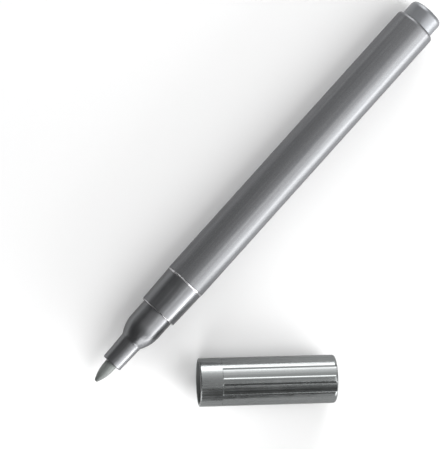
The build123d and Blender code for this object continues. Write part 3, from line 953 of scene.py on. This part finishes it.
# %% Draw in the flutes
bpy.ops.object.select_all(action="DESELECT")
cap_shell.select_set(True)
bpy.context.view_layer.objects.active = cap_shell
bpy.ops.object.mode_set(mode="EDIT")
bpy.ops.mesh.select_mode(type="VERT")
for (distance, radius, depth), members in flute_rows.items():
    bpy.ops.mesh.select_all(action="DESELECT")
    mesh = bmesh.from_edit_mesh(cap_shell.data)
    mesh.verts.ensure_lookup_table()
    for index in members:
        mesh.verts[index].select_set(True)
    bmesh.update_edit_mesh(cap_shell.data)
    shrink = 1 + depth * (FLUTE_FLOOR / radius - 1)
    bpy.ops.transform.resize(
        value=(shrink, shrink, shrink), center_override=cap_start + cap_along * distance * MM
    )
bpy.ops.object.mode_set(mode="OBJECT")
dress(cap_shell, [metallised_cap, bare_plastic], "metallised_cap", "cap", "cap_shell")

# %% Bare bore of the cap
SKIN_EDGE = 0.01  # millimetres past the bore where the skin begins, on the round of the mouth


def is_bare(place):
    """Whether a place is inside the cap, where the metal skin doesn't reach."""
    distance, radius = on_line(place, cap_line)
    return radius < CAP_BORE + SKIN_EDGE and distance < CAP_FLOOR + SKIN_EDGE


print("bare faces:", second_finish(cap_shell, is_bare))

# %% [markdown]
# ## Inner cap
#
# Deep in the cap sits a second, softer cap: a skirt that is pressed into the shell and a sleeve that
# closes round the snout, so the nib can't dry out. Only its pale rim shows, through the mouth. Two
# nested tubes would look alike from there, but the real one is a single moulding with one floor, so
# one outline goes down the skirt, across the groove, over the sleeve and into its bore.

# %% Inner cap
SKIRT_START = CAP_FLOOR - 6.0
SKIRT_RADII = (4.92, 5.52)
SKIRT_ROUND = 0.15
SLEEVE_RADII = (3.033, 3.733)
SLEEVE_FLOOR = CAP_FLOOR - 0.5
SLEEVE_ROUND = 0.2
BASE_ROUND = 0.1
inner_corners = [
    (CAP_FLOOR, 0),
    (CAP_FLOOR, SKIRT_RADII[1], BASE_ROUND),
    (SKIRT_START, SKIRT_RADII[1], SKIRT_ROUND),
    (SKIRT_START, SKIRT_RADII[0], SKIRT_ROUND),
    (SLEEVE_FLOOR, SKIRT_RADII[0]),
    (SLEEVE_FLOOR, SLEEVE_RADII[1]),
    (CAP_SEAT_START, SLEEVE_RADII[1], SLEEVE_ROUND),
    (CAP_SEAT_START, SLEEVE_RADII[0], SLEEVE_ROUND),
    (SLEEVE_FLOOR, SLEEVE_RADII[0]),
    (SLEEVE_FLOOR, 0),
]
inner = turn_piece("inner_cap_sleeve", outline(inner_corners, closed=False), cap_line, PEN_STEPS)
dress(inner, [natural_plastic], "natural_plastic", "cap", "inner_cap")

# %% [markdown]
# ## Valve spring
#
# The spring behind the valve is one wire wound into a helix. A bevelled curve could follow a list of
# points, but a Screw modifier winds a small circle round the X axis with two numbers, and its ends
# are then filled. When the nib is pressed the spring gets shorter towards its seat; here it only
# gets a copy of its own mesh.

# %% Section of the spring's wire
WIRE_RADIUS = 0.225 * MM
WIRE_SIDES = 14
spring_low, spring_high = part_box("valve_spring")
coil_radius = (spring_high.z - spring_low.z) / 2 - WIRE_RADIUS
bpy.ops.object.select_all(action="DESELECT")
bpy.ops.mesh.primitive_circle_add(
    vertices=WIRE_SIDES, radius=WIRE_RADIUS, rotation=(math.pi / 2, 0, 0)
)
bpy.ops.object.transform_apply(rotation=True)
spring = bpy.context.object
spring.name = spring.data.name = "valve_spring_coil"
bpy.ops.object.mode_set(mode="EDIT")
bpy.ops.mesh.select_all(action="SELECT")
bpy.ops.transform.translate(value=(0, 0, coil_radius))
bpy.ops.object.mode_set(mode="OBJECT")
print("wire", round(coil_radius / MM, 2), "mm from the pen's centre line")

# %% Wind the spring
SPRING_TURNS = 7
STEPS_PER_TURN = 40
coil_length = spring_high.x - spring_low.x - 2 * WIRE_RADIUS
winding = spring.modifiers.new("winding", "SCREW")
winding.axis = "X"
winding.iterations = SPRING_TURNS
winding.screw_offset = coil_length / SPRING_TURNS
winding.steps = winding.render_steps = STEPS_PER_TURN
bpy.ops.object.modifier_apply(modifier=winding.name)
print("wound", len(spring.data.polygons), "faces")

# %% Close and place the spring
bpy.ops.object.mode_set(mode="EDIT")
bpy.ops.mesh.select_all(action="SELECT")
bpy.ops.mesh.remove_doubles(threshold=WELD)
bpy.ops.mesh.select_all(action="DESELECT")
bpy.ops.mesh.select_mode(type="EDGE")
bpy.ops.mesh.select_non_manifold()
bpy.ops.mesh.fill_holes(sides=0)
bpy.ops.mesh.select_all(action="SELECT")
bpy.ops.transform.translate(value=(spring_low.x + WIRE_RADIUS, nib_tip.y, axis_height))
bpy.ops.mesh.normals_make_consistent(inside=False)
bpy.ops.object.mode_set(mode="OBJECT")
dress(spring, [spring_steel], "spring_steel", "pen", "valve_spring")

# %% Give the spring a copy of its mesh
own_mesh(spring)

# %% [markdown]
# ## Hidden valve pieces
#
# The seal, housing, stem, retainer and ball never show from outside. They could be modelled again,
# but their solids already have their real shapes, so they keep them and only take their own
# materials.

# %% Finishes for the solids that stay
kept_solids = {
    "valve_gasket": seal_rubber,
    "valve_housing": natural_plastic,
    "valve_stem": valve_plastic,
    "spring_retainer": valve_plastic,
    "mixing_ball": ball_steel,
}
for node, finish in kept_solids.items():
    frame["nodes"][node].data.materials.clear()
    frame["nodes"][node].data.materials.append(finish)
print("kept solids:", sorted(kept_solids))
